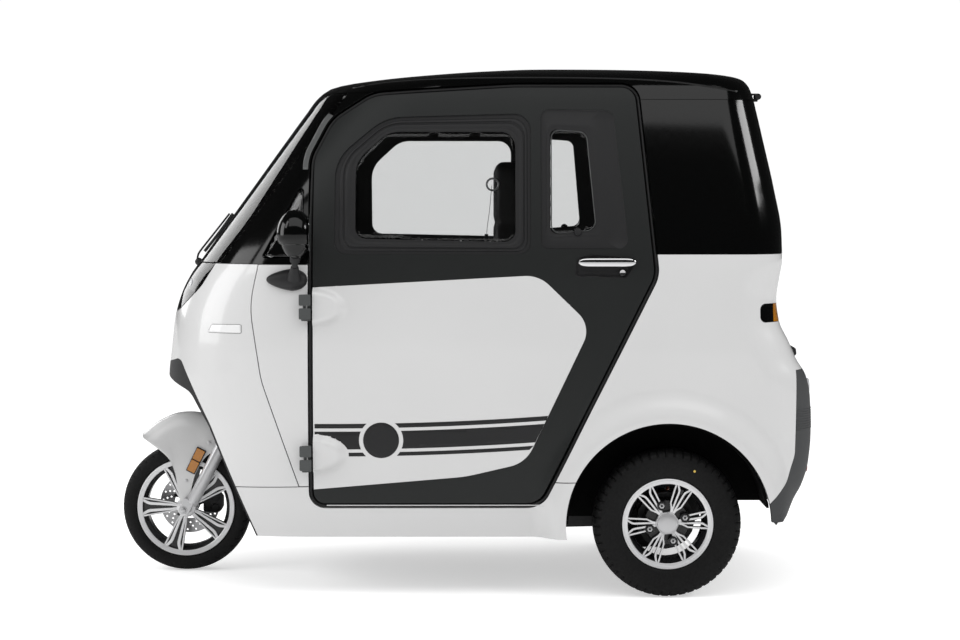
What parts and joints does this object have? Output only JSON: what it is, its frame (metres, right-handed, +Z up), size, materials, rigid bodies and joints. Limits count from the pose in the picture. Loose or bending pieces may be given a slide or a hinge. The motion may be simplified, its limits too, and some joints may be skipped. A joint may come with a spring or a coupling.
{
  "type": "enclosed mobility scooter",
  "caption": "Compact enclosed mobility scooter with a glazed cabin, hinged side doors, a single steered front wheel and a glazed rear hatch.",
  "frame": {"origin": "on the ground under the middle of the vehicle's box", "axes": "+X to the rear, -Y to the vehicle's left, +Z up"},
  "size_m": [2.2335, 1.36, 1.638],
  "materials": {
    "white_paint": "gloss white",
    "black_paint": "gloss black",
    "door_frame_paint": "satin anthracite",
    "bumper_plastic": "matt dark grey",
    "trim_plastic": "matt black",
    "window_glass": "clear",
    "smoked_glass": "smoked, glossy",
    "lamp_glass": "dark red lens",
    "frame_steel": "black, satin",
    "bare_metal": "bare metal",
    "alloy": "cast, machined face",
    "tyre_rubber": "new, black",
    "seat_cover": "black artificial leather",
    "cabin_plastic": "grained dark grey",
    "spring_paint": "orange coil springs",
    "chrome": "polished"
  },
  "bodies": {
    "body": {"nose_cowl": "white_paint", "side_cowl_left": "white_paint", "side_cowl_right": "white_paint", "sill_left": "white_paint", "sill_right": "white_paint", "quarter_panel_left": "white_paint", "quarter_panel_right": "white_paint", "tail_panel": "white_paint", "a_pillar_left": "black_paint", "a_pillar_right": "black_paint", "roof": "black_paint", "upper_quarter_left": "black_paint", "upper_quarter_right": "black_paint", "mirror_left": "black_paint", "mirror_right": "black_paint", "rear_bumper": "bumper_plastic", "door_post_left": "bumper_plastic", "door_post_right": "bumper_plastic", "wheel_liner_left": "trim_plastic", "wheel_liner_right": "trim_plastic", "wiper": "trim_plastic", "windscreen": "window_glass", "quarter_glass_left": "window_glass", "quarter_glass_right": "window_glass", "headlamp_band": "smoked_glass", "tail_lamp_left": "lamp_glass", "tail_lamp_right": "lamp_glass", "frame": "frame_steel", "rear_axle": "frame_steel", "seat_cushion": "seat_cover", "seat_back": "seat_cover", "floor_pan": "cabin_plastic", "dashboard": "cabin_plastic", "rear_tub": "cabin_plastic", "seat_box": "cabin_plastic", "shock_left": "spring_paint", "shock_right": "spring_paint"},
    "steering": {"fork": "bare_metal", "front_fender": "white_paint", "handlebar": "cabin_plastic"},
    "front_wheel": {"front_rim": "alloy", "front_tyre": "tyre_rubber", "front_brake_disc": "bare_metal"},
    "hatch": {"hatch_frame": "black_paint", "hatch_glass": "window_glass"},
    "rear_wheel_left": {"rear_rim_left": "alloy", "rear_tyre_left": "tyre_rubber"},
    "door_left": {"door_frame_left": "door_frame_paint", "door_panel_left": "white_paint", "door_glass_left": "window_glass", "vent_glass_left": "window_glass", "door_handle_left": "chrome"},
    "rear_wheel_right": {"rear_rim_right": "alloy", "rear_tyre_right": "tyre_rubber"},
    "door_right": {"door_frame_right": "door_frame_paint", "door_panel_right": "white_paint", "door_glass_right": "window_glass", "vent_glass_right": "window_glass", "door_handle_right": "chrome"}
  },
  "joints": [
    {"name": "steer", "type": "hinge", "parent": "body", "child": "steering", "pos_m": [-0.8495, 0, 0.2115], "axis": [0.4618, 0, 0.887], "range_deg": [-35, 35]},
    {"name": "front_wheel_spin", "type": "hinge", "parent": "steering", "child": "front_wheel", "pos_m": [-0.905, 0, 0.2115], "axis": [0, 1, 0], "continuous": true},
    {"name": "rear_wheel_left_spin", "type": "hinge", "parent": "body", "child": "rear_wheel_left", "pos_m": [0.643, -0.457, 0.229], "axis": [0, 1, 0], "continuous": true},
    {"name": "rear_wheel_right_spin", "type": "hinge", "parent": "body", "child": "rear_wheel_right", "pos_m": [0.643, 0.457, 0.229], "axis": [0, 1, 0], "continuous": true},
    {"name": "door_left_hinge", "type": "hinge", "parent": "body", "child": "door_left", "pos_m": [-0.468, -0.558, 0.66], "axis": [0, 0, -1], "range_deg": [0, 70]},
    {"name": "door_right_hinge", "type": "hinge", "parent": "body", "child": "door_right", "pos_m": [-0.468, 0.558, 0.66], "axis": [0, 0, 1], "range_deg": [0, 70]},
    {"name": "hatch_hinge", "type": "hinge", "parent": "body", "child": "hatch", "pos_m": [0.95, 0, 1.552], "axis": [0, -1, 0], "range_deg": [0, 80]}
  ]
}
